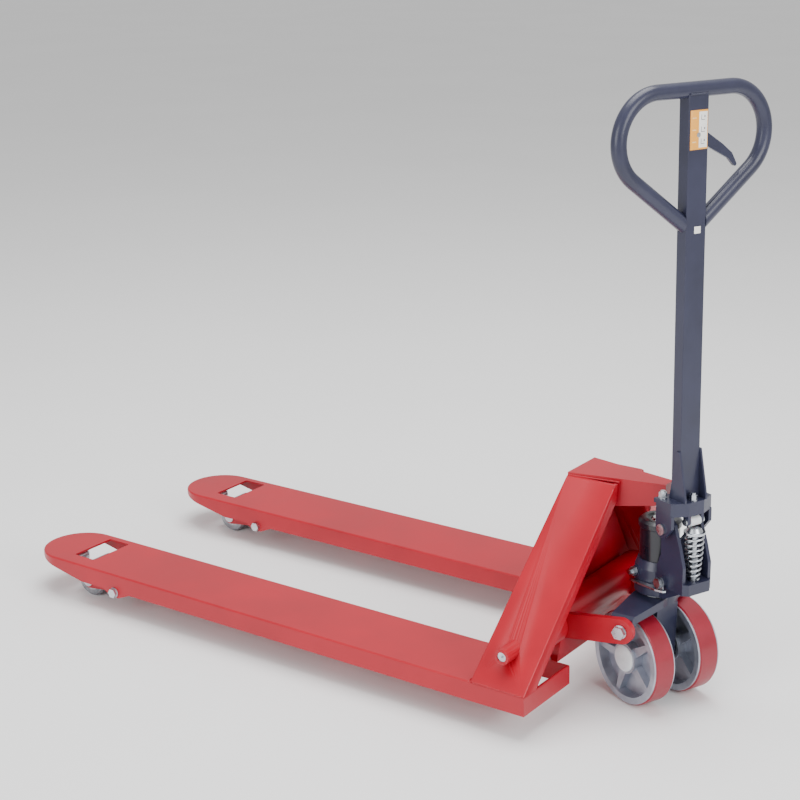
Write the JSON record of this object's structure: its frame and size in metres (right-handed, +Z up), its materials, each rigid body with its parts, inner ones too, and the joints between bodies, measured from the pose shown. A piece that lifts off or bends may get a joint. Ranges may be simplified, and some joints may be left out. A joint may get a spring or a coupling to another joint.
{
  "type": "pallet jack",
  "caption": "Hand pallet truck with two red forks, an A-shaped frame, a twin-wheel hydraulic pump unit and a loop-grip pull handle.",
  "frame": {"origin": "on the floor, at the middle of the truck's bounding box", "axes": "+X from the fork tips towards the operator's handle, +Y to the operator's right when they look at the forks, +Z up"},
  "size_m": [1.4808, 0.637, 1.141],
  "materials": {
    "frame_red": "gloss powder coat",
    "unit_grey": "satin paint",
    "zinc": "zinc plated",
    "chrome": "hard chrome",
    "alloy": "die cast",
    "tread": "moulded polyurethane",
    "bronze": "machined",
    "cap": "moulded",
    "black": "satin paint"
  },
  "bodies": {
    "chassis": {"fork_left": "frame_red", "fork_right": "frame_red", "upright_left": "frame_red", "upright_right": "frame_red", "head": "frame_red", "back_panel": "frame_red", "heel_shaft": "zinc", "grease_nipples": "zinc", "entry_roller_pins": "zinc", "load_arm_bolts": "zinc"},
    "entry_roller_left": {"entry_roller_left": "zinc"},
    "entry_roller_right": {"entry_roller_right": "zinc"},
    "rocker": {"rocker": "frame_red", "rocker_bushes": "bronze", "rod_pins": "zinc"},
    "push_rod_left": {"push_rod_left": "frame_red"},
    "push_rod_right": {"push_rod_right": "frame_red"},
    "load_arm_left": {"load_arm_left": "frame_red", "load_axle_left": "zinc"},
    "load_arm_right": {"load_arm_right": "frame_red", "load_axle_right": "zinc"},
    "load_wheel_left": {"load_wheel_left": "zinc", "load_bearings_left": "zinc"},
    "load_wheel_right": {"load_wheel_right": "zinc", "load_bearings_right": "zinc"},
    "base": {"base_yoke": "unit_grey", "base_bolts": "zinc", "thrust_bearing": "zinc"},
    "pump": {"pump_body": "unit_grey", "cylinder": "unit_grey", "cylinder_cap": "black", "wheel_carrier": "unit_grey", "wheel_axle": "zinc", "axle_rings": "zinc", "pump_barrel": "zinc", "pump_spring": "zinc", "release_valve": "zinc", "valve_bolts": "zinc", "hinge_pins": "zinc"},
    "ram": {"ram": "chrome"},
    "release_lever": {"release_lever": "zinc"},
    "plunger": {"pump_plunger": "zinc"},
    "steer_wheel_left": {"steer_tyre_left": "tread", "steer_hub_left": "alloy", "wheel_bearings_left": "zinc", "hub_cap_left": "cap"},
    "steer_wheel_right": {"steer_tyre_right": "tread", "steer_hub_right": "alloy", "wheel_bearings_right": "zinc", "hub_cap_right": "cap"},
    "handle": {"handle_bracket": "unit_grey", "handle_tube": "unit_grey", "grip_loop": "unit_grey", "handle_flange": "unit_grey", "flange_bolts": "zinc", "pump_roller_pin": "zinc", "lever_pin": "zinc"},
    "pump_roller": {"pump_roller": "cap"},
    "control_lever": {"control_lever": "unit_grey"},
    "pull_rod": {"pull_rod": "zinc"}
  },
  "joints": [
    {"name": "lift", "type": "hinge", "parent": "chassis", "child": "rocker", "pos_m": [0.46458, 0, 0.149], "axis": [0, 1, 0], "range_deg": [0, 36.6]},
    {"name": "push_rod_left_pivot", "type": "hinge", "parent": "rocker", "child": "push_rod_left", "pos_m": [0.47623, -0.23, 0.11378], "axis": [0, 1, 0], "range_deg": [-36.65, 0.05]},
    {"name": "push_rod_right_pivot", "type": "hinge", "parent": "rocker", "child": "push_rod_right", "pos_m": [0.47623, 0.23, 0.11378], "axis": [0, 1, 0], "range_deg": [-36.65, 0.05]},
    {"name": "load_arm_left_pivot", "type": "hinge", "parent": "chassis", "child": "load_arm_left", "pos_m": [-0.48442, -0.23, 0.05], "axis": [0, 1, 0], "range_deg": [-55.64, 0.1]},
    {"name": "load_arm_right_pivot", "type": "hinge", "parent": "chassis", "child": "load_arm_right", "pos_m": [-0.48442, 0.23, 0.05], "axis": [0, 1, 0], "range_deg": [-55.64, 0.1]},
    {"name": "load_wheel_left_spin", "type": "hinge", "parent": "load_arm_left", "child": "load_wheel_left", "pos_m": [-0.60042, -0.23, 0.037], "axis": [0, 1, 0], "continuous": true},
    {"name": "load_wheel_right_spin", "type": "hinge", "parent": "load_arm_right", "child": "load_wheel_right", "pos_m": [-0.60042, 0.23, 0.037], "axis": [0, 1, 0], "continuous": true},
    {"name": "entry_roller_left_spin", "type": "hinge", "parent": "chassis", "child": "entry_roller_left", "pos_m": [-0.67042, -0.23, 0.061], "axis": [0, 1, 0], "continuous": true},
    {"name": "entry_roller_right_spin", "type": "hinge", "parent": "chassis", "child": "entry_roller_right", "pos_m": [-0.67042, 0.23, 0.061], "axis": [0, 1, 0], "continuous": true},
    {"name": "base_pivot", "type": "hinge", "parent": "rocker", "child": "base", "pos_m": [0.60858, 0, 0.17], "axis": [0, 1, 0], "range_deg": [-33.67, 0.05]},
    {"name": "steering", "type": "hinge", "parent": "base", "child": "pump", "pos_m": [0.61708, 0, 0.19], "axis": [0, 0, 1], "range_deg": [-67.25, 112.75]},
    {"name": "ram_slide", "type": "slide", "parent": "pump", "child": "ram", "axis": [0, 0, 1], "range_m": [-0.0002, 0.09021]},
    {"name": "steer_wheel_left_spin", "type": "hinge", "parent": "pump", "child": "steer_wheel_left", "pos_m": [0.59697, -0.04795, 0.09], "axis": [0.3867, 0.9222, 0], "continuous": true},
    {"name": "steer_wheel_right_spin", "type": "hinge", "parent": "pump", "child": "steer_wheel_right", "pos_m": [0.63719, 0.04795, 0.09], "axis": [0.3867, 0.9222, 0], "continuous": true},
    {"name": "handle_tilt", "type": "hinge", "parent": "pump", "child": "handle", "pos_m": [0.67057, -0.02243, 0.356], "axis": [0.3867, 0.9222, 0], "range_deg": [0, 70], "stiffness_Nm_per_rad": 3, "springref_deg": -20.05},
    {"name": "plunger_slide", "type": "slide", "parent": "pump", "child": "plunger", "axis": [0, 0, -1], "range_m": [-0.0001, 0.0392], "deforming": ["pump_spring"]},
    {"name": "pump_roller_spin", "type": "hinge", "parent": "handle", "child": "pump_roller", "pos_m": [0.69889, -0.0343, 0.37304], "axis": [0.3867, 0.9222, 0], "continuous": true},
    {"name": "control_lever_pivot", "type": "hinge", "parent": "handle", "child": "control_lever", "pos_m": [0.66516, -0.02016, 1.053], "axis": [0.9221, -0.3867, 0.0175], "range_deg": [0, 16]},
    {"name": "pull_rod_slide", "type": "slide", "parent": "handle", "child": "pull_rod", "axis": [-0.0161, 0.0067, 0.9998], "range_m": [-0.0001, 0.004]},
    {"name": "release_lever_pivot", "type": "hinge", "parent": "pump", "child": "release_lever", "pos_m": [0.64957, -0.057, 0.251], "axis": [0.3867, 0.9222, 0], "range_deg": [-0.2, 3.2]}
  ],
  "couplings": [
    {"joint": "push_rod_left_pivot", "follows": "lift", "ratio": -1},
    {"joint": "push_rod_right_pivot", "follows": "lift", "ratio": -1},
    {"joint": "load_arm_left_pivot", "follows": "lift", "ratio": -1.5174},
    {"joint": "load_arm_right_pivot", "follows": "lift", "ratio": -1.5174},
    {"joint": "base_pivot", "follows": "lift", "ratio": -0.9186},
    {"joint": "ram_slide", "follows": "lift", "m_per_rad": 0.1409},
    {"joint": "plunger_slide", "follows": "handle_tilt", "m_per_rad": 0.0318},
    {"joint": "pull_rod_slide", "follows": "control_lever_pivot", "m_per_rad": 0.0138},
    {"joint": "release_lever_pivot", "follows": "control_lever_pivot", "ratio": 0.1875}
  ]
}
